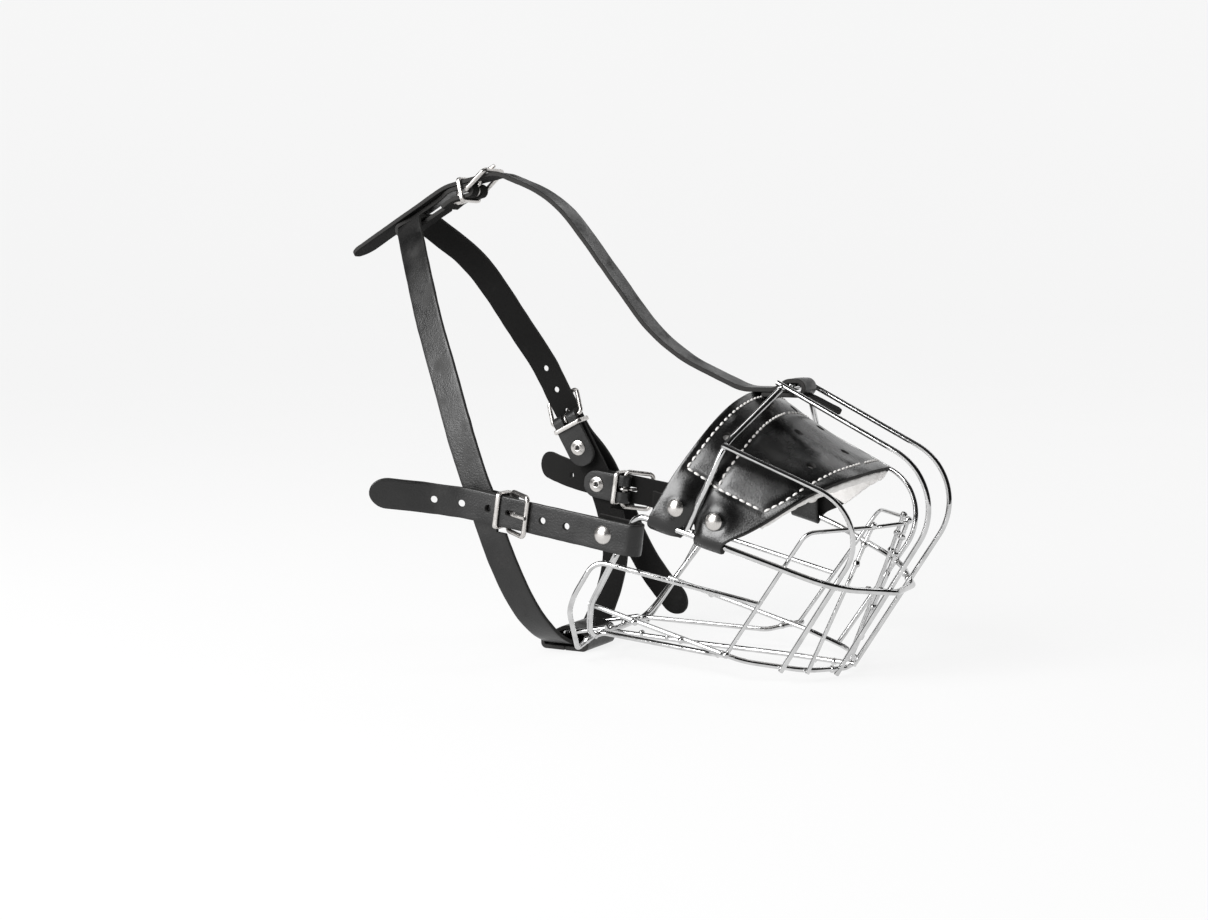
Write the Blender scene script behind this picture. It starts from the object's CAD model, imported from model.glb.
"""Looks of the wire basket muzzle: leather, felt, chrome wire and nickel hardware around the frame.

Lengths are millimetres from the design's datum, which lies on the floor at mid width, about below
the notch of the nose pad. They become metres in the row frame where a mesh is made.
The right side is -Y, the left side +Y, and the nose points to +X.
"""
import math

import bmesh
import bpy
import numpy as np
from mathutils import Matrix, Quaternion, Vector, noise
from mathutils.bvhtree import BVHTree
from mathutils.kdtree import KDTree


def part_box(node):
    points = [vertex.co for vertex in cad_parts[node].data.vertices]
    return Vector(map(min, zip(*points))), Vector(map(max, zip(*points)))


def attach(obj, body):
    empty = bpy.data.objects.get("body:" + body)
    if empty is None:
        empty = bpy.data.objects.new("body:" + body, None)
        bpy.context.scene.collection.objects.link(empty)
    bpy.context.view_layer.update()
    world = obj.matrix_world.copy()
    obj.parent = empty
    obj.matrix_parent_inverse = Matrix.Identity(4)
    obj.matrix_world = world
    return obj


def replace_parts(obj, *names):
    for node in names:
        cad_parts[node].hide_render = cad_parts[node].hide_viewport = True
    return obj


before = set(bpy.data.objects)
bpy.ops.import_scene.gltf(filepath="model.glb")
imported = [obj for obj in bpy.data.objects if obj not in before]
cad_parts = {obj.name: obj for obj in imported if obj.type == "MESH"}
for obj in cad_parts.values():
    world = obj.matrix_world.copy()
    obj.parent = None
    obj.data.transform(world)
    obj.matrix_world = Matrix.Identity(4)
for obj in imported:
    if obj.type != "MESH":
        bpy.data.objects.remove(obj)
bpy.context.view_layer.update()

V = Vector
MM = 0.001
ROOT = "root"

# ---- driving dimensions, mm ----
STRAP_WIDTH = 15.0
LEATHER = 2.2
HALF_LEATHER = LEATHER / 2
HALF_STRAP = STRAP_WIDTH / 2
EDGE_ROUND = 0.45
END_STEP = 0.4  # from a strap's end to its next ring
END_ROUND = 0.35
TIP_BLUNT = 0.04  # share of the width left at the very tip
MAIN_WIRE = 3.0
BUCKLE_WIRE = 2.4
GAP = 0.2
HOLE = 3.2
HOLE_PITCH = 13.0
FOLD_RADIUS = MAIN_WIRE / 2 + GAP + HALF_LEATHER  # leather's middle round the ring's wire
HALF_WIDTH = 61.5
TAB_OUT = HALF_WIDTH + FOLD_RADIUS
RING_SIDE = ((-22.0, 27.0), (78.0, 64.3))  # x, then z, of the ends of the ring's sloping side
ARCH_TOP = 135.5
ARCH_X = 3.0 + (ARCH_TOP - 71.0) * 0.4375  # the arch's top bar, by the slope of its legs
CHEEK_SLOPE = 0.1445
CHEEK_Y = 62.5
CHEEK_Z0 = 62.1
CHEEK_BUCKLE_X = {"right": -86.0, "left": -82.5}
COLLAR_CROSSING = 21.5
CROWN = V((-141.0, 0, 239.0))
CROWN_PITCH = math.radians(12)
CROWN_BEND = 20.0
COLLAR_BUCKLE = V((-124.0, 56.6, 118.0))
COLLAR_RUN = V((0.45, 0.10, -0.887)).normalized()
HEEL_X = 6.5
HEEL_Z = -4.8
FOLD = (BUCKLE_WIRE + 2 * GAP) / 2 + HALF_LEATHER
CHAPE_OUT = HEEL_Z + FOLD
CHAPE_IN = HEEL_Z - FOLD
SLOT_MIDDLE = 3.1
SLOT_HALF = 1.35
CHEEK_KEEPER = HEEL_X + 3.6
KEEPER = HEEL_X + 3.8

THROAT_X = -86.1  # the throat loop's middle, from the datum
throat_low, throat_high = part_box("throat_loop")
DATUM = V(((throat_low.x + throat_high.x) / 2 - THROAT_X * MM, 0, 0))


# ---- geometry helpers ----
def add(name, data):
    made = bpy.data.objects.new(name, data)
    bpy.context.scene.collection.objects.link(made)
    return made


def make_piece(name, points, faces, material, body=ROOT, sharp=50):
    """A mesh piece from points in millimetres, riding on a body."""
    mesh = bpy.data.meshes.new(name)
    mesh.from_pydata([V(p) * MM + DATUM for p in points], [], faces)
    mesh.validate()
    mesh.update()
    piece = add(name, mesh)
    if material:
        mesh.materials.append(MATERIALS[material])
        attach(piece, body)
    smooth(mesh, sharp)
    return piece


def smooth(mesh, sharp=50):
    mesh.shade_smooth()
    mesh.set_sharp_from_angle(angle=math.radians(sharp))


def joined(first, rings, size, closed=False, flip=False):
    """Faces between rings of points; flip turns them over."""
    faces = []
    for k in range(rings if closed else rings - 1):
        low, high = first + k * size, first + (k + 1) % rings * size
        for j in range(size):
            n = (j + 1) % size
            face = (low + j, low + n, high + n, high + j)
            faces.append(face[:1] + face[:0:-1] if flip else face)
    return faces


def caps(first, rings, size):
    """The two end faces of such a row of rings."""
    last = first + (rings - 1) * size
    return [tuple(range(first + size - 1, first - 1, -1)), tuple(range(last, last + size))]


def run_of(points):
    """Distance along a row of points, at each of them."""
    return np.concatenate([[0], np.cumsum(np.linalg.norm(np.diff(points, axis=0), axis=1))])


def at_run(at, run, rows):
    return np.stack([np.interp(at, run, column) for column in np.transpose(rows)], axis=1)


def rounded_path(points, radii, step=1.2):
    """Points about a step apart along straight runs joined by tangent arcs."""
    line = [V(points[0])]

    def run_to(end):
        start = line[-1].copy()
        count = max(1, round((end - start).length / step))
        line.extend(start.lerp(end, k / count) for k in range(1, count + 1))

    for index in range(1, len(points) - 1):
        corner = V(points[index])
        back = (V(points[index - 1]) - corner).normalized()
        ahead = (V(points[index + 1]) - corner).normalized()
        half = back.angle(ahead) / 2
        radius = radii[index - 1]
        run_to(corner + back * (radius / math.tan(half)))
        centre = corner + (back + ahead).normalized() * (radius / math.sin(half))
        spoke = line[-1] - centre
        axis = ahead.cross(back)
        turn = math.pi - 2 * half
        count = max(round(turn / math.radians(9)), round(turn * radius / step), 2)
        line.extend(centre + Quaternion(axis, turn * k / count) @ spoke for k in range(1, count + 1))
    run_to(V(points[-1]))
    return line


def spline(knots, values, at):
    """Natural cubic spline through rows of values."""
    knots, values, at = np.array(knots), np.array(values, float), np.array(at)
    count = len(knots)
    gap = np.diff(knots)
    matrix = np.eye(count)
    right = np.zeros_like(values)
    for i in range(1, count - 1):
        matrix[i, i - 1:i + 2] = gap[i - 1], 2 * (gap[i - 1] + gap[i]), gap[i]
        right[i] = 6 * ((values[i + 1] - values[i]) / gap[i] - (values[i] - values[i - 1]) / gap[i - 1])
    bend = np.linalg.solve(matrix, right)
    k = np.clip(np.searchsorted(knots, at) - 1, 0, count - 2)
    h = gap[k][:, None]
    a = ((knots[k + 1] - at) / gap[k])[:, None]
    b = 1 - a
    return (a * values[k] + b * values[k + 1]
            + ((a ** 3 - a) * bend[k] + (b ** 3 - b) * bend[k + 1]) * h * h / 6)


class Axes:
    """A buckle's own frame: x along the strap to its tail, z outwards; sign -1 mirrors it."""

    def __init__(self, origin, along, outward, sign=1):
        self.x = V(along).normalized()
        self.z = (V(outward) - self.x * self.x.dot(V(outward))).normalized()
        self.y = self.z.cross(self.x)
        self.origin = V(origin)
        self.flip = V((1, sign, 1))

    def turn(self, p):
        return (self.x * p[0] + self.y * p[1] + self.z * p[2]) * self.flip

    def at(self, *p):
        return self.origin * self.flip + self.turn(p)


# ---- swept leather ----
def section(columns, corner=4):
    """A flat strap's outline, as rows of (inner half width, rounding, half thickness, rounding) factors."""
    rows = [(k / columns * 2 - 1, 0, 1, 1) for k in range(columns + 1)]
    quarter = [math.pi / 2 * k / corner for k in range(1, corner)]
    rows += [(1, math.cos(a), 1, math.sin(a)) for a in quarter[::-1]]
    rows += [(1, 1, 1, 0), (1, 1, -1, 0)]
    rows += [(1, math.cos(a), -1, -math.sin(a)) for a in quarter]
    half = np.array(rows, float)
    return np.vstack([half, -half])


def stations(line, across):
    """Middle points with one direction across them all."""
    return [(V(p), V(across)) for p in line]


def directions(middles, sides):
    """Unit tangents, sides and normals along a row of stations."""
    tangent = np.gradient(middles, axis=0)
    tangent /= np.linalg.norm(tangent, axis=1, keepdims=True)
    side = sides - tangent * np.sum(sides * tangent, axis=1, keepdims=True)
    side /= np.linalg.norm(side, axis=1, keepdims=True)
    return tangent, side, np.cross(side, tangent)


def strap(name, route, grain=1, width=STRAP_WIDTH, thickness=LEATHER, tips=(0, 0), columns=10,
          edge=EDGE_ROUND, material="leather", body=ROOT, closed=False, rough=1.0):
    """A strap swept along stations. grain is the side of the finished face, tips round its ends."""
    middles = np.array([p for p, _ in route])
    sides = np.array([s for _, s in route])
    keep = np.diff(run_of(middles), prepend=-1) > 1e-4
    middles, sides = middles[keep], sides[keep]
    run = run_of(middles)
    length = run[-1]
    at = list(run)
    for tip, start in ((tips[0], 0), (tips[1], length)):
        if tip:
            inside = [tip * (1 - math.cos(math.radians(a))) for a in range(0, 91, 6)]
            at = [s for s in at if abs(s - start) > tip] + [abs(start - s) for s in inside]
    at = np.array(sorted(at))
    if not closed:
        at = np.unique(np.round(np.concatenate([at, [END_STEP, length - END_STEP]]), 3))
    middles, sides = at_run(at, run, middles), at_run(at, run, sides)
    if closed:
        middles, sides, at = middles[:-1], sides[:-1], at[:-1]
        ahead, behind = np.roll(middles, -1, axis=0), np.roll(middles, 1, axis=0)
        tangent = (ahead - behind) / np.linalg.norm(ahead - behind, axis=1, keepdims=True)
        side = sides
        normal = np.cross(side, tangent)
    else:
        tangent, side, normal = directions(middles, sides)
    normal = normal * grain
    outline = section(columns)
    points = []
    for k, s in enumerate(at):
        half = (width(s, length) if callable(width) else width) / 2
        for tip, gone in ((tips[0], s), (tips[1], length - s)):
            if tip and gone < tip:
                half *= max(math.sqrt(max(1 - ((tip - gone) / tip) ** 2, 0)), TIP_BLUNT)
        deep = thickness / 2
        if not closed and not END_STEP / 2 < s < length - END_STEP / 2:
            half, deep = max(half - END_ROUND, 0.1), deep - END_ROUND
        r = min(edge, half * 0.6, deep * 0.95)
        u = outline[:, 0] * (half - r) + outline[:, 1] * r
        v = np.sign(outline[:, 2]) * (deep - r) + outline[:, 3] * r
        ring = middles[k] + np.outer(u, side[k]) + np.outer(v, normal[k])
        if rough:
            for j, p in enumerate(ring):
                wave = noise.noise(V(p) * 0.09) * 0.16 + noise.noise(V(p) * 0.4) * 0.05
                lift = rough * (wave * abs(v[j]) / deep)
                stray = rough * noise.noise(V(p) * 0.13 + V((40, 0, 0))) * 0.22 * u[j] / max(half, 1)
                ring[j] = p + normal[k] * lift + side[k] * stray
        points.extend(ring)
    faces = joined(0, len(at), len(outline), closed)
    if not closed:
        faces += caps(0, len(at), len(outline))
    if grain < 0:
        faces = [f[::-1] for f in faces]
    piece = make_piece(name, points, faces, material, body)
    right_way_out(piece.data)
    smooth(piece.data)
    guide = {"points": middles, "along": tangent, "side": side, "normal": normal, "run": at,
             "half": thickness / 2}
    lay_out(piece, guide)
    return piece, guide


def lay_out(piece, guide):
    """Stores how far along, across and deep in the leather each vertex is, in millimetres."""
    tree = KDTree(len(guide["points"]))
    for k, p in enumerate(guide["points"]):
        tree.insert(p, k)
    tree.balance()
    mesh = piece.data
    places = np.zeros((len(mesh.vertices), 3), np.float32)
    for k, vertex in enumerate(mesh.vertices):
        p = (vertex.co - DATUM) / MM
        near = tree.find(p)[1]
        gap = np.array(p) - guide["points"][near]
        places[k] = (guide["run"][near] + gap @ guide["along"][near],
                     gap @ guide["side"][near], gap @ guide["normal"][near] / guide["half"])
    if "strap" in mesh.attributes:
        mesh.attributes.remove(mesh.attributes["strap"])
    mesh.attributes.new("strap", "FLOAT_VECTOR", "POINT").data.foreach_set("vector", places.ravel())


def cutter(origin, x, z, radius, reach=0.0, depth=6.0, lip=0.3, half=HALF_LEATHER):
    """Points and faces of a punch along z, round or drawn out along x, with a worn lip."""
    x, z = V(x).normalized(), V(z).normalized()
    y = z.cross(x)
    rings = []
    for height, more in ((-depth, lip), (-half, lip), (EDGE_ROUND - half, 0), (half - EDGE_ROUND, 0),
                         (half, lip), (depth, lip)):
        ring = []
        for k in range(32):
            angle = 2 * math.pi * (k + 0.5) / 32
            r = radius + more
            shift = math.copysign(reach, math.cos(angle))
            ring.append(V(origin) + x * (math.cos(angle) * r + shift) + y * math.sin(angle) * r + z * height)
        rings.append(ring)
    return rings


def block(axes, low, high):
    """A box cutter in a buckle's frame, as two rings."""
    rings = []
    for z in (low[2], high[2]):
        corners = ((low[0], low[1]), (high[0], low[1]), (high[0], high[1]), (low[0], high[1]))
        rings.append([axes.at(x, y, z) for x, y in corners])
    return rings


def carve(piece, guide, cutters):
    """Cuts holes and slots into a strap and lays it out again."""
    points, faces = [], []
    for rings in cutters:
        size, start = len(rings[0]), len(points)
        for ring in rings:
            points.extend(ring)
        faces += joined(start, len(rings), size) + caps(start, len(rings), size)
    tool = make_piece("cutter", points, faces, None)
    right_way_out(tool.data)
    modifier = piece.modifiers.new("cut", "BOOLEAN")
    modifier.operation = "DIFFERENCE"
    modifier.solver = "EXACT"
    modifier.use_self = True
    modifier.object = tool
    graph = bpy.context.evaluated_depsgraph_get()
    mesh = bpy.data.meshes.new_from_object(piece.evaluated_get(graph))
    piece.modifiers.clear()
    piece.data = mesh
    bpy.data.objects.remove(tool)
    smooth(mesh)
    lay_out(piece, guide)


def right_way_out(mesh):
    work = bmesh.new()
    work.from_mesh(mesh)
    bmesh.ops.recalc_face_normals(work, faces=work.faces)
    work.to_mesh(mesh)
    work.free()


def turned(name, profile, origin, axis, material, body=ROOT, segments=40):
    """A solid of revolution; profile is (radius, height) from the axis back to the axis."""
    axis = V(axis).normalized()
    x = axis.orthogonal().normalized()
    y = axis.cross(x)
    points = [V(origin) + axis * profile[0][1]]
    for radius, height in profile[1:-1]:
        for k in range(segments):
            angle = 2 * math.pi * k / segments
            points.append(V(origin) + (x * math.cos(angle) + y * math.sin(angle)) * radius + axis * height)
    points.append(V(origin) + axis * profile[-1][1])
    faces = joined(1, len(profile) - 2, segments, flip=True)
    end = len(points) - 1
    for j in range(segments):
        n = (j + 1) % segments
        faces += [(0, 1 + j, 1 + n), (end - segments + j, end, end - segments + n)]
    piece = make_piece(name, points, faces, material, body, sharp=40)
    right_way_out(piece.data)
    smooth(piece.data, 40)
    return piece


# ---- materials ----
class Shader:
    """A principled material with a few shortcuts for adding nodes."""

    def __init__(self, name, **sockets):
        self.material = bpy.data.materials.new(name)
        self.material.use_nodes = True
        self.tree = self.material.node_tree
        self.surface = self.tree.nodes["Principled BSDF"]
        for key, value in sockets.items():
            self.surface.inputs[key.replace("_", " ")].default_value = value

    def node(self, kind, inputs=(), **settings):
        made = self.tree.nodes.new("ShaderNode" + kind)
        for key, value in settings.items():
            setattr(made, key, value)
        for key, value in dict(inputs).items():
            self.feed(made.inputs[key], value)
        return made

    def feed(self, socket, value):
        if isinstance(value, bpy.types.NodeSocket):
            self.tree.links.new(value, socket)
        else:
            socket.default_value = value

    def place(self, attribute=None, scale=(1, 1, 1)):
        """Where a point is: an attribute in millimetres, or the piece's own coordinates."""
        if attribute:
            source = self.node("Attribute", attribute_name=attribute).outputs["Vector"]
        else:
            source = self.node("TexCoord").outputs["Object"]
        return self.node("Mapping", {"Vector": source, "Scale": scale}).outputs["Vector"]

    def space(self, *scale):
        """The piece's own coordinates, in millimetres unless a scale is given."""
        return self.place(scale=scale or (1 / MM,) * 3)

    def noise(self, place, scale, detail=3.0, rough=0.5):
        inputs = {"Vector": place, "Scale": scale, "Detail": detail, "Roughness": rough}
        return self.node("TexNoise", inputs).outputs["Fac"]

    def ramp(self, value, low, high, start=0.0, end=1.0):
        inputs = {"Value": value, "From Min": start, "From Max": end, "To Min": low, "To Max": high}
        return self.node("MapRange", inputs, clamp=True).outputs["Result"]

    def math(self, kind, a, b=0.0):
        made = self.node("Math", operation=kind)
        self.feed(made.inputs[0], a)
        self.feed(made.inputs[1], b)
        return made.outputs[0]

    def mix(self, share, a, b):
        """Mixes two numbers or two colours."""
        colour = any(isinstance(x, tuple) or getattr(x, "type", "") == "RGBA" for x in (a, b))
        made = self.node("Mix", data_type="RGBA" if colour else "FLOAT")
        spots = ("A_Color", "B_Color") if colour else ("A_Float", "B_Float")
        self.feed(made.inputs[0], share)
        for spot, value in zip(spots, (a, b)):
            socket = next(s for s in made.inputs if s.identifier == spot)
            self.feed(socket, value)
        return next(s for s in made.outputs if s.identifier == ("Result_Color" if colour else "Result_Float"))

    def bump(self, height, distance, strength=1.0):
        inputs = {"Height": height, "Distance": distance * MM, "Strength": strength}
        self.feed(self.surface.inputs["Normal"], self.node("Bump", inputs).outputs["Normal"])


def grey(value, warm=0.0):
    return (value * (1 + warm), value, value * (1 - warm), 1.0)


def leather_material(name, black=0.004, gloss=0.33, pebble=0.5, shine=0.5):
    """Dyed hide: pebbled grain outside, matt flesh inside, layered fibres on every cut edge."""
    s = Shader(name)
    place = s.place("strap")
    depth = s.node("SeparateXYZ", {"Vector": place}).outputs["Z"]
    space = s.space()
    grain = s.node("TexVoronoi", {"Vector": space, "Scale": 1.15, "Smoothness": 0.7}, feature="SMOOTH_F1")
    cells = s.ramp(grain.outputs["Distance"], 1.0, 0.0, 0.1, 0.75)
    fine = s.noise(space, 3.2, 4.0, 0.6)
    broad = s.noise(space, 0.07, 3.0)
    hair = s.noise(s.place("strap", (0.5, 0.5, 9.0)), 1.6, 5.0, 0.7)
    nap = s.noise(space, 2.2, 6.0, 0.75)
    flesh = s.ramp(depth, 1.0, 0.0, -0.95, -0.8)
    finished = s.ramp(depth, 0.0, 1.0, 0.8, 0.97)
    cut = s.math("SUBTRACT", s.math("SUBTRACT", 1.0, flesh), finished)
    face_colour = s.mix(s.ramp(broad, 0, 1, 0.35, 0.65), grey(black * 0.7), grey(black * 1.5, 0.03))
    face_colour = s.mix(s.ramp(fine, 0, 0.5, 0.45, 0.8), face_colour, grey(black * 2.3))
    edge_colour = s.mix(s.ramp(hair, 0, 1, 0.3, 0.7), grey(0.010), grey(0.045, 0.03))
    flesh_colour = s.mix(s.ramp(nap, 0, 1, 0.3, 0.75), grey(0.003), grey(0.011, 0.04))
    colour = s.mix(flesh, s.mix(s.math("MAXIMUM", cut, 0.0), face_colour, edge_colour), flesh_colour)
    s.feed(s.surface.inputs["Base Color"], colour)
    worn = s.ramp(broad, gloss - 0.07, gloss + 0.12, 0.3, 0.7)
    worn = s.math("ADD", worn, s.ramp(fine, -0.04, 0.08, 0.3, 0.7))
    s.feed(s.surface.inputs["Roughness"], s.mix(finished, 0.86, worn))
    s.feed(s.surface.inputs["Specular IOR Level"], s.mix(finished, 0.14, shine))
    relief = s.math("ADD", s.math("MULTIPLY", cells, pebble), s.math("MULTIPLY", fine, 0.3))
    torn = s.mix(flesh, hair, nap)
    s.bump(s.mix(finished, s.math("MULTIPLY", torn, 1.6), relief), 0.11, 0.8)
    return s.material


def felt_material():
    s = Shader("felt", Roughness=0.95, Sheen_Weight=0.35, Sheen_Roughness=0.5)
    place = s.space()
    fibre = s.noise(s.space(1300, 420, 900), 0.9, 7.0, 0.72)
    clump = s.noise(place, 0.22, 4.0, 0.6)
    colour = s.mix(s.ramp(clump, 0, 1, 0.3, 0.7), grey(0.60, 0.035), grey(0.76, 0.02))
    colour = s.mix(s.ramp(fibre, 0, 0.5, 0.35, 0.75), colour, grey(0.86, 0.01))
    s.feed(s.surface.inputs["Base Color"], colour)
    s.bump(s.math("ADD", fibre, clump), 0.35, 0.9)
    return s.material


def thread_material():
    s = Shader("thread", Roughness=0.7, Sheen_Weight=0.3)
    strand = s.noise(s.space(), 2.4, 5.0, 0.7)
    colour = s.mix(s.ramp(strand, 0, 1, 0.3, 0.7), grey(0.50, 0.04), grey(0.80, 0.02))
    s.feed(s.surface.inputs["Base Color"], colour)
    s.bump(strand, 0.12, 0.8)
    return s.material


def metal_material(name, colour, dark, rough, spread, haze):
    """Plated wire: faint die lines, a slightly uneven polish and duller patches."""
    s = Shader(name, Metallic=1.0)
    place = s.space()
    patch = s.noise(place, 0.12, 4.0, 0.6)
    fine = s.noise(place, 1.6, 5.0, 0.65)
    speck = s.ramp(s.noise(place, 0.9, 6.0, 0.7), 0, 1, 0.62, 0.72)
    tone = s.mix(s.ramp(patch, 0, 1, 0.3, 0.7), dark, colour)
    s.feed(s.surface.inputs["Base Color"], s.mix(s.math("MULTIPLY", speck, 0.5), tone, grey(0.32, 0.03)))
    value = s.math("ADD", s.ramp(patch, rough, rough + spread, 0.3, 0.7), s.ramp(fine, 0, haze, 0.4, 0.8))
    s.feed(s.surface.inputs["Roughness"], s.math("ADD", value, s.math("MULTIPLY", speck, 0.15)))
    s.bump(s.math("ADD", s.math("MULTIPLY", patch, 2.0), s.math("MULTIPLY", fine, 0.15)), 0.09, 0.7)
    return s.material


def floor_material():
    """Paper lit from below, so that shadows on it stay faint."""
    s = Shader("floor", Roughness=0.9, Specular_IOR_Level=0.1, Emission_Strength=0.84)
    s.surface.inputs["Emission Color"].default_value = grey(1.0)
    s.feed(s.surface.inputs["Base Color"], s.mix(s.noise(s.place(), 3.0), grey(0.11), grey(0.12)))
    return s.material


def card_material():
    s = Shader("card", Roughness=1.0, Specular_IOR_Level=0.0)
    s.surface.inputs["Base Color"].default_value = grey(0.01)
    return s.material


MATERIALS = {
    "leather": leather_material("leather"),
    "pad_leather": leather_material("pad_leather", black=0.0025, gloss=0.21, pebble=0.22, shine=0.6),
    "felt": felt_material(),
    "thread": thread_material(),
    "chrome": metal_material("chrome", grey(0.68), grey(0.50), 0.03, 0.06, 0.04),
    "nickel": metal_material("nickel", grey(0.66, 0.03), grey(0.50, 0.04), 0.20, 0.14, 0.08),
    "floor": floor_material(),
    "card": card_material(),
}


# ---- hardware ----
def domed_rivet(name, outer, inner, axis, size=1.0):
    """Domed cap, shank and a washer under a rolled tube end with its dark hole."""
    axis = V(axis).normalized()
    span = (V(outer) - V(inner)).length
    profile = [(0, 1.9), (0.7, 1.87), (1.4, 1.78), (2.1, 1.61), (2.7, 1.38), (3.3, 1.07), (3.8, 0.74),
               (4.2, 0.4), (4.45, 0.14), (4.5, 0.0), (4.4, -0.08)]
    profile = [(r * size, z * size) for r, z in profile] + [(1.5, -0.1)]
    profile += eyelet(-span)
    return turned(name, profile, outer, axis, "nickel")


def eyelet(z):
    """The inner end of a tubular rivet: washer, rolled rim and hole, from the shank to the axis."""
    shape = [(1.5, 0), (3.9, 0.02), (4.1, -0.12), (4.1, -0.35), (3.9, -0.5), (2.6, -0.58), (2.45, -0.72),
             (2.2, -0.98), (1.8, -1.08), (1.4, -0.98), (1.15, -0.7), (1.1, -0.2), (1.1, 1.6), (0, 1.7)]
    return [(r, z + rise) for r, rise in shape]


def flat_rivet(name, outer, inner, axis):
    """A shank that ends level with the outer leather, and an eyelet inside."""
    span = (V(outer) - V(inner)).length
    profile = [(0, -0.05), (1.1, -0.05), (1.5, -0.15)] + eyelet(-span)
    return turned(name, profile, outer, axis, "nickel")


def chape_rivet(name, axes, x):
    return flat_rivet(name, axes.at(x, 0, CHAPE_OUT + HALF_LEATHER), axes.at(x, 0, CHAPE_IN - HALF_LEATHER),
                      axes.turn((0, 0, 1)))


def keeper(name, axes, x, body):
    """A flat-oval wire bent to a loop round the strap and its chape."""
    thick, wide = 1.5, 2.5
    high = HALF_LEATHER + GAP + thick / 2
    low = CHAPE_IN - HALF_LEATHER - GAP - thick / 2
    side = HALF_STRAP + GAP + thick / 2
    corners = [(0, low), (-side, low), (-side, high), (side, high), (side, low), (0, low)]
    line = rounded_path([(x, y, z) for y, z in corners], [1.6] * 4, 0.8)
    route = [(axes.at(*p), axes.turn((1, 0, 0))) for p in line]
    piece, _ = strap(name, route, width=wide, thickness=thick, edge=0.7, columns=3, material="nickel",
                     body=body, closed=True, rough=0)
    right_way_out(piece.data)
    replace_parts(piece, body)


def slot(axes):
    return cutter(axes.at(SLOT_MIDDLE, 0, 0), axes.turn((1, 0, 0)), axes.turn((0, 0, 1)), 1.25, SLOT_HALF)


def window(axes):
    low, high = HEEL_X - FOLD - 3, HEEL_X + 4.2
    return cutter(axes.at((low + high) / 2, 0, HEEL_Z), axes.turn((1, 0, 0)), axes.turn((0, 0, 1)),
                  1.7, (high - low) / 2 - 1.7, FOLD + 3, 0)


def chape_line(length, inner_length):
    """Middle line of the leather that folds round a buckle's heel bar."""
    corners = [(HEEL_X + length, 0, CHAPE_OUT), (HEEL_X - FOLD, 0, CHAPE_OUT), (HEEL_X - FOLD, 0, CHAPE_IN),
               (HEEL_X + inner_length, 0, CHAPE_IN)]
    return rounded_path(corners, [FOLD - 0.02] * 2, 1.0)


# ---- cheek straps ----
def on_cheek(x, y=-CHEEK_Y):
    return V((x, y, CHEEK_Z0 - CHEEK_SLOPE * x))


def cheek_side(side):
    buckle_x = CHEEK_BUCKLE_X[side]
    sign = -1 if side == "left" else 1
    along = V((-1, 0, CHEEK_SLOPE))
    axes = Axes(on_cheek(buckle_x), along, (0, -1, 0), sign)
    across = V((CHEEK_SLOPE, 0, 1)).normalized()
    fold = (MAIN_WIRE + 4.4 + LEATHER) / 2
    inside = 2 * fold - CHEEK_Y
    corners = [on_cheek(-47, inside), on_cheek(-22.5, inside), on_cheek(-22.5), on_cheek(-112),
               on_cheek(-130, -69.5), on_cheek(-155, -86)]
    line = [p * axes.flip for p in rounded_path(corners, [fold - 0.02, fold - 0.02, 40, 60])]
    piece, guide = strap("cheek_strap_leather_" + side, stations(line, across), grain=sign, tips=(0, 9.5))
    holes = [slot(axes)]
    for step in (-2, -1, 1.3, 2.27, 3.2):
        x = buckle_x + 1.6 - step * HOLE_PITCH
        at = on_cheek(x, -CHEEK_Y - 7 * max(step - 1.4, 0))
        lean = V((0, -1, 0)) if step < 2 else V((0.38, -0.92, 0))
        holes.append(cutter(at * axes.flip, (1, 0, 0), lean * axes.flip, HOLE / 2, depth=12))
    carve(piece, guide, holes)
    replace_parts(piece, "cheek_strap_" + side)
    out = V((0, -sign, 0))
    outer = on_cheek(-39.0, -CHEEK_Y - HALF_LEATHER) * axes.flip
    inner = on_cheek(-39.0, inside + HALF_LEATHER) * axes.flip
    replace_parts(domed_rivet("cheek_rivet_" + side, outer, inner, out), "cheek_strap_rivet_" + side)

    length = COLLAR_CROSSING + 8.0 - HEEL_X
    route = [(axes.at(*p), axes.turn((0, 1, 0))) for p in chape_line(length, length)]
    chape, guide = strap("cheek_chape_leather_" + side, route, grain=sign, tips=(HALF_STRAP, HALF_STRAP))
    carve(chape, guide, [window(axes)])
    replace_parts(chape, "cheek_chape_" + side)
    rivet = chape_rivet("chape_rivet_" + side, axes, COLLAR_CROSSING)
    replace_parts(rivet, "cheek_chape_rivet_" + side)
    buckle = "cheek_buckle_" + side
    keeper(buckle + "_loop", axes, CHEEK_KEEPER, buckle + "_keeper")
    return axes


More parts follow.
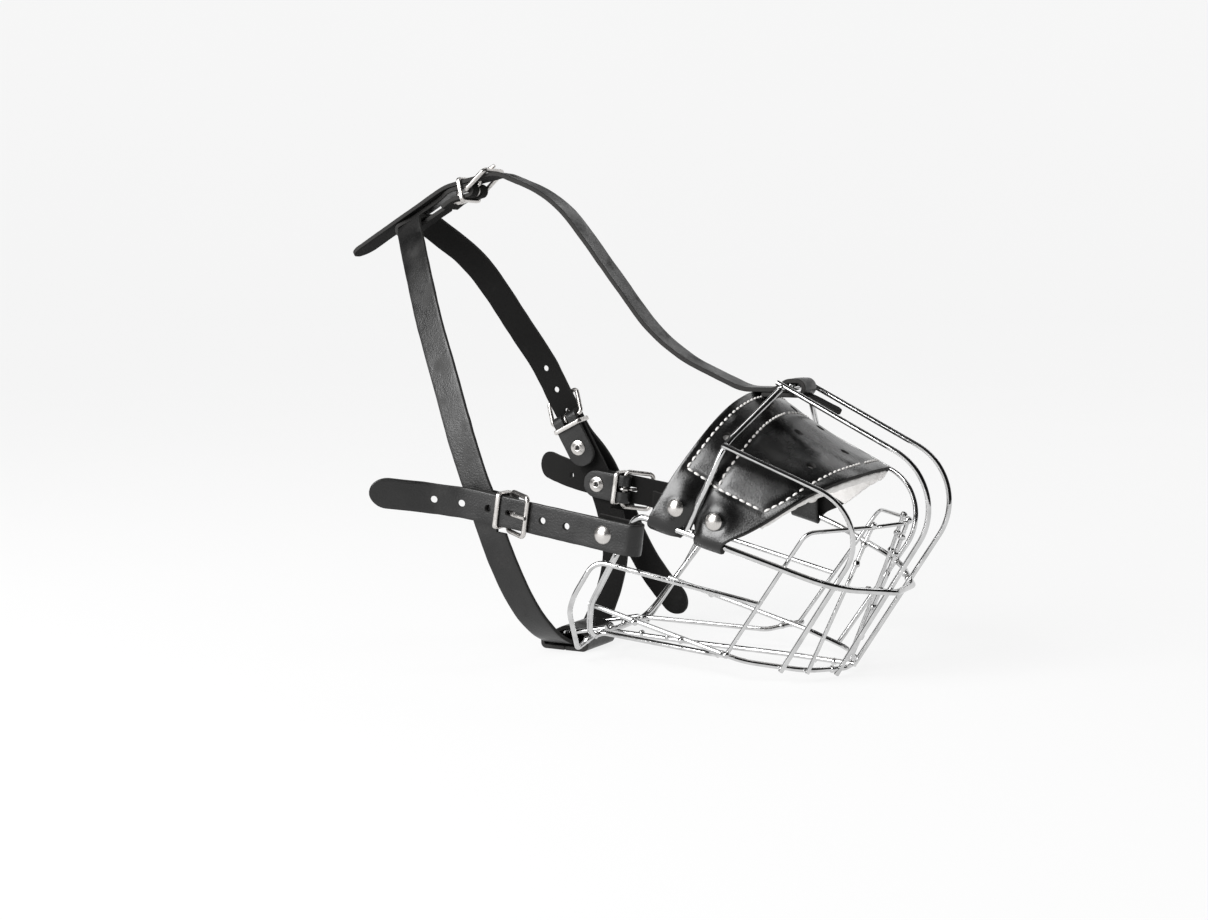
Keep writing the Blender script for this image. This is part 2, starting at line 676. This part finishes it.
# ---- head strap ----
def head_strap():
    along = V((-math.cos(CROWN_PITCH), 0, -math.sin(CROWN_PITCH)))
    outward = V((-math.sin(CROWN_PITCH), 0, math.cos(CROWN_PITCH)))
    axes = Axes(CROWN, along, outward)
    fold = 3.4
    low, high = ARCH_TOP - fold, ARCH_TOP + fold
    front, pressed = ARCH_X + 7.4, low + LEATHER + 0.1
    entry, leave = CROWN - along * 11, CROWN + along * CROWN_BEND
    tip = V((-221.5, 0, 200.5))
    corners = [(ARCH_X - 14, 0, low), (front, 0, low), (front, 0, high), (ARCH_X - 1, 0, high),
               (ARCH_X - 7.5, 0, pressed), (7, 0, 134.2), (-36.3, 0, 153.0), (-96.8, 0, 228.5),
               entry, leave, tip]
    line = rounded_path(corners, [fold - 0.05, fold - 0.05, 6, 8, 24, 95, 70, 16, 30])
    piece, guide = strap("head_strap_leather", stations(line, (0, 1, 0)), tips=(0, 9.0))
    tail = (tip - leave).normalized()
    tail_out = V((tail.z, 0, -tail.x))
    holes = [slot(axes)]
    for spot in (entry - along * 6.5, entry - along * 19.5 + V((0, 0, -1))):
        holes.append(cutter(spot, (0, 1, 0), outward, HOLE / 2, depth=9))
    for step in (1, 2):
        holes.append(cutter(leave + tail * (2 + step * HOLE_PITCH), (0, 1, 0), tail_out, HOLE / 2))
    carve(piece, guide, holes)
    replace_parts(piece, "head_strap")
    tab = [(ARCH_X + 3, 0, low + 0.2), (ARCH_X + 8, 0, low - 1.0), (ARCH_X + 23.3, 0, low - 8)]
    strap("head_strap_tab", stations(rounded_path(tab, [14]), (0, 1, 0)), width=11.0, tips=(0, 4.5))
    rivet_x = ARCH_X - 10.5
    rivet = flat_rivet("head_rivet", (rivet_x, 0, pressed + HALF_LEATHER),
                       (rivet_x, 0, low - HALF_LEATHER), (0, 0, 1))
    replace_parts(rivet, "head_strap_rivet")

    # chape: from the heel bar back under the tail, round the collar strap, and narrower there
    drop = math.tan(outward.angle(tail_out))
    bend, end = CROWN_BEND - 1.0, 54.5
    step = V((-drop, 0, -1)).normalized() * (2 * FOLD + 0.5)
    corner = V((end, 0, CHAPE_OUT - (end - bend) * drop))
    inner_bend = bend - 1.5

    def lower(x):
        return V((x, 0, CHAPE_IN - 0.5 - (x - inner_bend) * drop))

    loop = [lower(24.0), V((inner_bend, 0, CHAPE_IN)), V((HEEL_X - FOLD, 0, CHAPE_IN)),
            V((HEEL_X - FOLD, 0, CHAPE_OUT)), V((bend, 0, CHAPE_OUT)), corner, corner + step, lower(24.5)]
    line = rounded_path(loop, [12, FOLD - 0.02, FOLD - 0.02, 20, FOLD - 0.05, FOLD - 0.05])
    route = [(axes.at(*p), V((0, 1, 0))) for p in line]
    neck = axes.at(34, 0, CHAPE_OUT - 8)
    necks = [s for s, (p, _) in zip(run_of([p for p, _ in route]), route) if (p - neck).length < 9]
    narrower, spread = 7.5, 8

    def width(s, _):
        return STRAP_WIDTH - narrower * max(math.exp(-((s - at) / spread) ** 2) for at in necks)

    chape, guide = strap("crown_chape_leather", route, grain=-1, width=width)
    carve(chape, guide, [window(axes)])
    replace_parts(chape, "crown_chape")
    rivet = chape_rivet("crown_rivet", axes, 16.2)
    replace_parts(rivet, "crown_chape_rivet")
    keeper("crown_buckle_loop", axes, KEEPER, "crown_buckle_keeper")


# ---- collar strap ----
# middle x, y, z and the lean of the strap's width
COLLAR_TOP = [
    (-181.8, 0, 217.0, 0.56), (-181.2, -8, 216.6, 0.56), (-176.8, -15, 211.5, 0.55),
    (-168.0, -25, 201.5, 0.53), (-145.5, -44, 162.0, 0.50),
]
COLLAR_RIGHT = [
    (-132.5, -51.5, 137.0, 0.46), (-124.0, -55.3, 118.0, 0.42), (-115.5, -57.3, 97.0, 0.38),
    (-110.8, -57.7, 86.0, 0.35), (-107.4, -57.7, 77.5, 0.34), (-104.6, -57.7, 69.5, 0.32),
    (-102.3, -56.9, 62.0, 0.31), (-98.5, -52.5, 47.0, 0.27), (-94.0, -42.5, 27.0, 0.18),
    (-90.0, -30.0, 12.5, 0.08),
]
COLLAR_THROAT = [(-87.5, -16.0, 4.8, 0.0), (-87.0, 0, 3.5, 0.0), (-87.5, 16.0, 4.8, 0.0)]
COLLAR_LEFT = [
    (-88.8, 30.0, 12.5, 0.08), (-89.0, 42.5, 27.0, 0.18), (-91.5, 52.5, 47.0, 0.27),
    (-96.8, 56.9, 62.0, 0.31), (-99.8, 57.7, 69.5, 0.34), (-103.4, 57.7, 77.5, 0.36),
    (-107.0, 57.7, 85.0, 0.42),
]
COLLAR_TAIL = [
    (-112.0, 62.6, 96.0, 0.48), (-108.5, 67.7, 88.0, 0.48), (-104.5, 69.8, 79.5, 0.48),
    (-99.0, 70.5, 68.0, 0.50), (-91.5, 70.5, 52.0, 0.58), (-80.0, 70.0, 33.0, 0.75),
    (-57.0, 67.0, 9.5, 0.80),
]


def leaning(rows, sign=1):
    return [(V((x, y * sign, z)), V((1, 0, lean))) for x, y, z, lean in rows]


def smooth_run(rows, step=1.3):
    """Stations along a smooth curve through hand-set ones."""
    middles = np.array([p for p, _ in rows])
    sides = np.array([s.normalized() for _, s in rows])
    knots = run_of(middles)
    at = np.linspace(0, knots[-1], round(knots[-1] / step))
    points, across = spline(knots, middles, at), spline(knots, sides, at)
    return [(V(p), V(s)) for p, s in zip(points, across)]


def collar(cheeks):
    axes = Axes(COLLAR_BUCKLE, COLLAR_RUN, (0, 1, 0))
    across = COLLAR_RUN.cross(axes.z)
    rise = [(axes.at(u, 0, CHAPE_OUT), across) for u in (30, 22, 14, HEEL_X + 0.8)]
    through = [(axes.at(u, 0, 0), across) for u in (-24, -12, 0, 7, 12.5)] + [(axes.at(18, 0, 1.2), across)]
    upper = smooth_run(leaning(COLLAR_TOP, -1) + through + leaning(COLLAR_TAIL))
    loop = smooth_run(leaning(COLLAR_TOP + COLLAR_RIGHT + COLLAR_THROAT + COLLAR_LEFT) + rise)
    turn = [(axes.at(*p), across) for p in chape_line(0.0, 27.0)]
    route = upper[::-1] + loop[1:] + turn[1:]
    piece, guide = strap("collar_strap_leather", route, grain=-1, tips=(9.5, HALF_STRAP))
    holes = [slot(axes), window(axes)]
    for u in (-11.0, -24.0):
        holes.append(cutter(axes.at(u, 0, 0), COLLAR_RUN, axes.z, HOLE / 2))
    for cheek in cheeks:
        reach = CHEEK_KEEPER + 2.2
        for side in (-1, 1):
            low, high = sorted((side * (HALF_STRAP + 4.2), side * (HALF_STRAP - 1.2)))
            holes.append(block(cheek, (0, low, HEEL_Z - 2), (reach, high, HEEL_Z + 2)))
    carve(piece, guide, holes)
    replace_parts(piece, "collar_strap")
    rivet = chape_rivet("collar_rivet", axes, 23)
    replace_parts(rivet, "collar_chape_rivet")
    keeper("collar_buckle_loop", axes, KEEPER, "collar_buckle_keeper")


def throat_loop():
    low = HALF_LEATHER
    corners = [(-86.0, 0, low), (-98.6, 0, low), (-98.6, 0, 5.4), (-85.5, 0, 12.0), (-73.6, 0, 9.4),
               (-73.6, 0, low), (-85.7, 0, low)]
    line = rounded_path(corners, [1.9, 1.9, 6, 2.2, 2.2], 1.0)
    route = stations(line, (0, 1, 0))
    piece, _ = strap("throat_loop_leather", route, grain=-1, width=30.0, columns=20, rough=0.6)
    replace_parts(piece, "throat_loop")


# ---- nose pad ----
# the middle of its leather, from under the ring to the ridge, along the rear and the front edge
PAD_REAR = [
    (-14.5, -61.5, 72.8), (-14.5, -64.3, 76.0), (-10.8, -63.8, 83), (-7.3, -61.9, 89.6), (-3.0, -59.2, 98.1),
    (2.2, -55.2, 107.2), (8.0, -47.2, 118.1), (11.6, -31.5, 127.3), (12.8, -14, 131.6), (13, 0, 132.3),
]
PAD_FRONT = [
    (21, -61.5, 63.2), (22, -64.3, 66.5), (26.5, -63.6, 69.7), (31.2, -62.0, 71.8), (37.4, -59.2, 75.4),
    (45.6, -55.5, 81.0), (56.7, -48.8, 88.8), (66.2, -36.0, 94.3), (70.8, -17.5, 96.5), (71.2, 0, 96.8),
]
PAD_COLUMNS = 46
PAD_ROWS = 250
PAD_LAST = 18.0  # the pad's parameter runs from 0, under the right ring, to 18, under the left
TUCK = 13.0  # how far the tabs run up inside the ring
TUCK_VALLEY = 5.5  # how far they step inwards there, clear of the arch's leg
TUCK_VALLEY_X = 4.5
SINK = 0.45  # depth of a seam
PILLOW = 0.35  # rise of the leather between seams
# seams and vents: share of the way from the rear to the front edge, and the parameter across
SEAMS = {
    "outer": [(0.06, 4.47), (0.057, 5.3), (0.052, 6.0), (0.05, 6.8), (0.05, 7.8), (0.05, 9.0)],
    "lower": [(0.06, 4.47), (0.27, 4.56), (0.44, 4.56), (0.64, 4.65), (0.90, 4.78)],
    "front": [(0.90, 4.78), (0.93, 5.5), (0.915, 6.5), (0.9, 7.4), (0.9, 8.3), (0.9, 9.0)],
    "inner": [(0.407, 4.66), (0.356, 5.28), (0.335, 5.82), (0.305, 6.32), (0.285, 6.81), (0.265, 7.31),
              (0.25, 7.98), (0.237, 9.0)],
}
VENTS = [(0.153, 6.14), (0.525, 6.18), (0.763, 6.99), (0.441, 8.08), (0.2, 7.98), (0.746, 9.0)]
# outline of the notch between a side's two tabs, as x and z
NOTCH = [(-1.6, 66.0), (7.0, 64.0), (7.6, 73.0), (6.6, 75.0), (5.2, 75.2), (3.0, 74.0)]
STITCH_PITCH = 3.6
# the arch's leg: a point low on it, and how it leans forwards and inwards as it rises
ARCH_FOOT = (3.2, -61.1, 71.5)
ARCH_SLOPE = 17.7 / 40.5
ARCH_LEAN = 2.6 / 40.5
ARCH_COS = 0.916  # of the angle between the arch's leg and the vertical
VALLEY = 5.5  # half width of the valley under the leg
RIVET_FLAT = 6.5  # radius over which a rivet holds the leather flat
PAD_CROWN = 2.2  # how much the top sags between its edges
PAD_RIVETS = [(-0.73, 82.75), (18.37, 77.41)]  # x and z of each rivet's middle
FELT_FOOT = 4.15  # the felt's lower edge, as a parameter across
FELT = 3.9


def pad_edge(half, at):
    whole = half + [(x, -y, z) for x, y, z in half[-2::-1]]
    return spline(range(len(whole)), whole, at)


def pad_surface(share, at):
    """Middle of the pad's leather, its direction forwards and its outward normal."""
    share, at = np.asarray(share, float), np.asarray(at, float)

    def middle(share, at):
        rear, front = pad_edge(PAD_REAR, at), pad_edge(PAD_FRONT, at)
        near_top = np.clip((6.5 - abs(at - PAD_LAST / 2)) / 2, 0, 1)
        crown = np.sin(np.pi * np.clip(share, 0, 1)) * -PAD_CROWN * near_top
        surface = rear + (front - rear) * share[:, None]
        surface[:, 2] += crown * np.clip((surface[:, 2] - 80) / 30, 0, 1)
        return surface + pressed_in(surface)

    step = 0.01
    forward = middle(share + step, at) - middle(share - step, at)
    up = middle(share, np.minimum(at + step, PAD_LAST)) - middle(share, np.maximum(at - step, 0))
    normal = np.cross(forward, up)
    normal /= np.linalg.norm(normal, axis=1, keepdims=True)
    forward /= np.linalg.norm(forward, axis=1, keepdims=True)
    return middle(share, at), forward, normal


def pressed_in(surface):
    """How far the arch's uprights press the leather in, and how flat it lies under the rivets."""
    side = np.sign(surface[:, 1])
    out, height = abs(surface[:, 1]), surface[:, 2]
    wire_x = ARCH_FOOT[0] + (height - ARCH_FOOT[2]) * ARCH_SLOPE
    wire_out = -ARCH_FOOT[1] - (height - ARCH_FOOT[2]) * ARCH_LEAN
    away = (surface[:, 0] - wire_x) * ARCH_COS
    over = np.clip(out - (wire_out - MAIN_WIRE / 2 - HALF_LEATHER - 0.3), 0, None)
    push = over * np.exp(-(away / VALLEY) ** 2)
    for x, z in PAD_RIVETS:
        gap = np.hypot(surface[:, 0] - x, height - z)
        push += (out - push - TAB_OUT) * np.exp(-(gap / RIVET_FLAT) ** 2)
        push += 0.5 * np.exp(-((gap - 4.2) / 1.6) ** 2)
    move = np.zeros_like(surface)
    move[:, 1] = -side * push
    return move


def seam_points(seam, mirror, pitch):
    """Evenly spaced points on a seam, as share and parameter pairs."""
    seam = np.array(seam)
    if mirror:
        seam = seam * (1, -1) + (0, PAD_LAST)
    fine = at_run(np.linspace(0, len(seam) - 1, 400), range(len(seam)), seam)
    run = run_of(pad_surface(fine[:, 0], fine[:, 1])[0])
    return at_run(np.arange(0, run[-1], pitch), run, fine)


def all_seams(pitch):
    return {name + side: seam_points(seam, mirror, pitch)
            for name, seam in SEAMS.items() for side, mirror in (("_right", False), ("_left", True))}


def shell(name, rows, columns, frames, depths, material):
    """A thick sheet between two offsets of a grid, closed by rounded edges all round."""
    middle, forward, normal = frames
    top, bottom = depths
    bevel = 0.5
    rim = bevel * 0.3
    layers = [(top - rim, 0.7), (top - bevel, 1.0), (bottom + bevel, 1.0), (bottom + rim, 0.7)]
    grid = middle.reshape(rows, columns, 3)
    across = np.gradient(grid, axis=0)
    across /= np.linalg.norm(across, axis=2, keepdims=True)
    fwd = forward.reshape(rows, columns, 3)
    nrm = normal.reshape(rows, columns, 3)
    border = [(0, c) for c in range(columns)] + [(r, columns - 1) for r in range(1, rows)]
    border += [(rows - 1, c) for c in range(columns - 2, -1, -1)] + [(r, 0) for r in range(rows - 2, 0, -1)]
    points = list(middle + normal * top) + list(middle + normal * bottom)
    faces = []
    total = rows * columns
    for r in range(rows - 1):
        for c in range(columns - 1):
            a = r * columns + c
            faces.append((a, a + 1, a + columns + 1, a + columns))
            faces.append((total + a, total + a + columns, total + a + columns + 1, total + a + 1))
    rings = [[r * columns + c for r, c in border]]
    for depth, out in layers:
        ring = []
        for r, c in border:
            push = fwd[r, c] * ((c == columns - 1) - (c == 0)) + across[r, c] * ((r == rows - 1) - (r == 0))
            push /= np.linalg.norm(push)
            ring.append(len(points))
            points.append(grid[r, c] + nrm[r, c] * depth + push * out * bevel)
        rings.append(ring)
    rings.append([total + r * columns + c for r, c in border])
    count = len(border)
    for a, b in zip(rings, rings[1:]):
        for k in range(count):
            n = (k + 1) % count
            faces.append((a[k], a[n], b[n], b[k]))
    piece = make_piece(name, points, faces, material)
    right_way_out(piece.data)
    guide = {"points": middle, "along": forward, "side": across.reshape(-1, 3), "normal": normal,
             "run": np.zeros(len(middle)), "half": (top - bottom) / 2}
    return piece, guide


def pad():
    # leather: the saddle and, past each lower edge, the tabs folded round the ring and up inside it
    at = np.linspace(0, PAD_LAST, PAD_ROWS)
    share = np.linspace(0, 1, PAD_COLUMNS)
    shares, params = np.meshgrid(share, at)
    saddle = pad_surface(shares.ravel(), params.ravel())
    middle, forward, normal = (a.reshape(PAD_ROWS, PAD_COLUMNS, 3) for a in saddle)

    tuck_mid, tuck_normal = [], []
    ring = middle[0].copy()
    ring[:, 1] = -HALF_WIDTH
    ring[:, 2] = np.interp(ring[:, 0], *RING_SIDE)
    for angle in range(20, 91, 14):
        a = math.radians(angle)
        out = np.array([0, math.sin(a), -math.cos(a)])
        tuck_mid.append(ring + out * FOLD_RADIUS)
        tuck_normal.append(np.tile(out, (PAD_COLUMNS, 1)))
    for rise in np.arange(1.2, TUCK, 1.3):
        behind = ring + np.array([0, FOLD_RADIUS, rise])
        valley = np.exp(-((ring[:, 0] - TUCK_VALLEY_X - rise * ARCH_SLOPE) / 5.0) ** 2)
        behind[:, 1] += TUCK_VALLEY * valley * min(rise / 4, 1)
        tuck_mid.append(behind)
        tuck_normal.append(np.tile([0, 1.0, 0], (PAD_COLUMNS, 1)))
    tuck_mid, tuck_normal = np.array(tuck_mid)[::-1], np.array(tuck_normal)[::-1]
    flip = np.array([1, -1, 1])
    middle = np.concatenate([tuck_mid, middle, (tuck_mid * flip)[::-1]])
    normal = np.concatenate([tuck_normal, normal, (tuck_normal * flip)[::-1]])
    extra = np.tile(forward[0], (len(tuck_mid), 1, 1))
    forward = np.concatenate([extra, forward, extra])
    rows = len(middle)

    # the thread pulls the surface in along each seam
    seams = np.concatenate([pad_surface(p[:, 0], p[:, 1])[0] for p in all_seams(1.0).values()])
    flat = middle.reshape(-1, 3)
    gap = np.full(len(flat), 1e9)
    for p in seams:
        gap = np.minimum(gap, np.linalg.norm(flat - p, axis=1))
    sink = SINK * np.exp(-(gap / 1.5) ** 2)
    quilt = PILLOW * np.clip(gap / 9, 0, 1) ** 0.7 * np.clip((flat[:, 2] - 84) / 10, 0, 1)
    wave = np.array([noise.noise(V(p) * 0.07) * 0.25 for p in flat])
    flat = flat + normal.reshape(-1, 3) * (quilt - sink + wave)[:, None]
    frames = (flat, forward.reshape(-1, 3), normal.reshape(-1, 3))
    depths = (HALF_LEATHER, -HALF_LEATHER)
    piece, guide = shell("nose_pad_hide", rows, PAD_COLUMNS, frames, depths, "pad_leather")
    cutters = [[[V((x, side * y, z)) for x, z in NOTCH] for y in (45, 70)] for side in (-1, 1)]
    for vent_share, vent_at in VENTS:
        for param in sorted({vent_at, PAD_LAST - vent_at}):
            mid, fwd, out = pad_surface([vent_share], [param])
            cutters.append(cutter(mid[0], fwd[0], out[0], 2.0, lip=0.35, depth=2.6))
    carve(piece, guide, cutters)
    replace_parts(piece, "nose_pad_leather")
    felt()
    stitches()
    pad_rivets()


def felt():
    """The thick lining: flush with the rear and front edges, its lower edges just below the lower seams."""
    rows, columns = 190, 60
    across = np.linspace(FELT_FOOT, PAD_LAST - FELT_FOOT, rows)
    shares, params = np.meshgrid(np.linspace(0.012, 1.0, columns), across)
    middle, forward, normal = pad_surface(shares.ravel(), params.ravel())
    fuzz = np.array([noise.noise(V(p) * 0.35) * 0.12 + noise.noise(V(p) * 1.1) * 0.1 for p in middle])
    stray = np.array([noise.noise(V(p) * 0.5 + V((9, 0, 0))) * 0.5 for p in middle]) * (shares.ravel() > 0.96)
    frames = (middle + normal * fuzz[:, None] + forward * stray[:, None], forward, normal)
    depths = (-HALF_LEATHER - 0.2, -HALF_LEATHER - FELT)
    piece, _ = shell("nose_pad_lining", rows, columns, frames, depths, "felt")
    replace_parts(piece, "nose_pad_felt")


def stitches():
    """Short thread bridges that sink into the leather at both ends, right and left of the ridge."""
    for name, pairs in all_seams(STITCH_PITCH).items():
        middle, _, normal = pad_surface(pairs[:, 0], pairs[:, 1])
        points, faces = [], []
        for k in range(len(middle) - 1):
            bridge(points, faces, V(middle[k]), V(middle[k + 1]), V(normal[k]))
        make_piece("stitches_" + name, points, faces, "thread", sharp=80)


def bridge(points, faces, start, end, out, radius=0.5, segments=8, rings=9):
    along = (end - start).normalized()
    side = along.cross(out).normalized()
    first = len(points)
    for r in range(rings):
        t = 0.11 + 0.78 * r / (rings - 1)
        lift = HALF_LEATHER - 0.62 + 0.62 * math.sin(math.pi * r / (rings - 1))
        centre = start.lerp(end, t) + out * lift
        size = radius * (0.55 + 0.45 * math.sin(math.pi * r / (rings - 1)))
        for k in range(segments):
            a = 2 * math.pi * k / segments
            points.append(centre + side * math.cos(a) * size * 1.15 + out * math.sin(a) * size)
    faces += joined(first, rings, segments, flip=True) + [f[::-1] for f in caps(first, rings, segments)]


def pad_rivets():
    """Four domed rivets through the tabs, just above the ring; the first stands for them all."""
    first = True
    for place, (x, z) in zip(("rear", "front"), PAD_RIVETS):
        for side, sign in (("right", 1), ("left", -1)):
            outer = V((x, -sign * (TAB_OUT + HALF_LEATHER - 0.1), z))
            inner = V((x, -sign * (HALF_WIDTH - FOLD_RADIUS - HALF_LEATHER), z))
            rivet = domed_rivet("pad_rivet_" + place + "_" + side, outer, inner, (0, -sign, 0), 0.91)
            if first:
                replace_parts(rivet, "nose_pad_rivets")
            first = False


# ---- welds ----
WIRES = [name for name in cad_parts
         if name.endswith("_wire") or "_wire_" in name or name.startswith(("upper_loop", "front_bar"))]
WELD_RADIUS = 1.75
WELD_REACH = 5.0  # contacts nearer than this belong to one weld


def welds():
    """A small fused lump wherever two wires of the cage meet."""
    trees, triangles = {}, {}
    for name in WIRES:
        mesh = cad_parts[name].data
        mesh.calc_loop_triangles()
        corners = [tuple(t.vertices) for t in mesh.loop_triangles]
        places = [v.co.copy() for v in mesh.vertices]
        trees[name] = BVHTree.FromPolygons(places, corners)
        triangles[name] = [sum((places[i] for i in t), V()) / 3 for t in corners]
    spots = []
    for i, a in enumerate(WIRES):
        for b in WIRES[i + 1:]:
            for hit, _ in trees[a].overlap(trees[b]):
                p = triangles[a][hit]
                group = next((s for s in spots if (s[0] / s[1] - p).length < WELD_REACH * MM), None)
                if group:
                    group[0] += p
                    group[1] += 1
                else:
                    spots.append([p.copy(), 1])
    for k, (total, count) in enumerate(spots):
        centre = (total / count - DATUM) / MM
        lump("weld_%02d" % (k + 1), centre, k)


def lump(name, centre, seed):
    """An uneven rounded blob, as a spot weld leaves under the plating."""
    points = []
    rings, segments = 10, 16
    for r in range(rings + 1):
        for k in range(segments):
            polar, turn = math.pi * r / rings, 2 * math.pi * k / segments
            d = V((math.sin(polar) * math.cos(turn), math.sin(polar) * math.sin(turn), math.cos(polar)))
            radius = WELD_RADIUS * (1 + 0.22 * noise.noise(d * 1.3 + V((seed * 3.1, 0, 0))))
            points.append(centre + d * radius)
    make_piece(name, points, joined(0, rings + 1, segments, flip=True), "chrome", sharp=180)


# ---- frame parts that keep their shape ----
def finish_frame_parts():
    for name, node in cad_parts.items():
        finish = "chrome" if name in WIRES else "nickel"
        node.data.materials.clear()
        node.data.materials.append(MATERIALS[finish])


# ---- studio ----
CARD_RADIUS = 1.25
CARD_TOP = 1.7
CARD_STEPS = 18


def on_stage(name, points, faces, material):
    mesh = bpy.data.meshes.new(name)
    mesh.from_pydata(points, [], faces)
    mesh.materials.append(MATERIALS[material])
    return add(name, mesh)


def studio():
    """A round pale stage that curves up to a wall, three soft lamps and two dark cards; in metres."""
    rows = [(0, 0), (0.6, 0), (1.6, 0), (2.2, 0.02), (2.55, 0.12), (2.8, 0.35), (2.88, 0.7), (2.9, 1.25)]
    points = []
    segments = 96
    for radius, height in rows:
        for k in range(segments):
            a = 2 * math.pi * k / segments
            points.append((math.cos(a) * radius, math.sin(a) * radius, height))
    floor = on_stage("stage", points, joined(0, len(rows), segments), "floor")
    floor.data.shade_smooth()

    world = bpy.data.worlds.new("studio")
    bpy.context.scene.world = world
    world.use_nodes = True
    background = world.node_tree.nodes["Background"].inputs
    background["Color"].default_value = (1, 1, 1, 1)
    background["Strength"].default_value = 0.08
    lamps = [
        ("softbox_key", (-0.52, -1.20, 0.82), (0.95, 1.2), 40),
        ("softbox_back", (0.45, 1.75, 1.45), (1.7, 0.5), 5),
        ("softbox_top", (-0.2, 0.35, 1.9), (0.9, 0.3), 3),
    ]
    for name, place, size, power in lamps:
        lamp = bpy.data.lights.new(name, "AREA")
        lamp.shape = "RECTANGLE"
        lamp.size, lamp.size_y = size
        lamp.energy = power
        holder = add(name, lamp)
        holder.location = place
        holder.rotation_euler = (V((0, 0, 0.1)) - V(place)).to_track_quat("-Z", "Y").to_euler()
    card("card_front", -92, 42)
    card("card_left", -142, -180)


def card(name, start, end):
    """A black card beside the set: only reflections see it, so the bright wires get dark edges."""
    points, faces = [], []
    for k in range(CARD_STEPS + 1):
        a = math.radians(start + (end - start) * k / CARD_STEPS)
        points += [(math.cos(a) * CARD_RADIUS, math.sin(a) * CARD_RADIUS, z) for z in (0.01, CARD_TOP)]
        if k:
            faces.append((2 * k - 2, 2 * k, 2 * k + 1, 2 * k - 1))
    panel = on_stage(name, points, faces, "card")
    for ray in ("camera", "diffuse", "transmission", "shadow", "volume_scatter"):
        setattr(panel, "visible_" + ray, False)


def camera():
    """The photo's viewpoint, solved from points on the cage and the straps."""
    view = bpy.data.cameras.new("camera")
    view.sensor_width = 36
    view.lens = 53.64
    view.clip_start = 0.01
    holder = add("camera", view)
    holder.location = DATUM + V((346.55, -803.83, 181.55)) * MM
    holder.rotation_euler = (math.radians(90 - 5.381), 0, math.radians(27.459))
    bpy.context.scene.camera = holder
    bpy.context.scene.view_settings.view_transform = "Standard"


camera()
studio()
finish_frame_parts()
welds()
cheeks = [cheek_side("right"), cheek_side("left")]
head_strap()
collar(cheeks)
throat_loop()
pad()
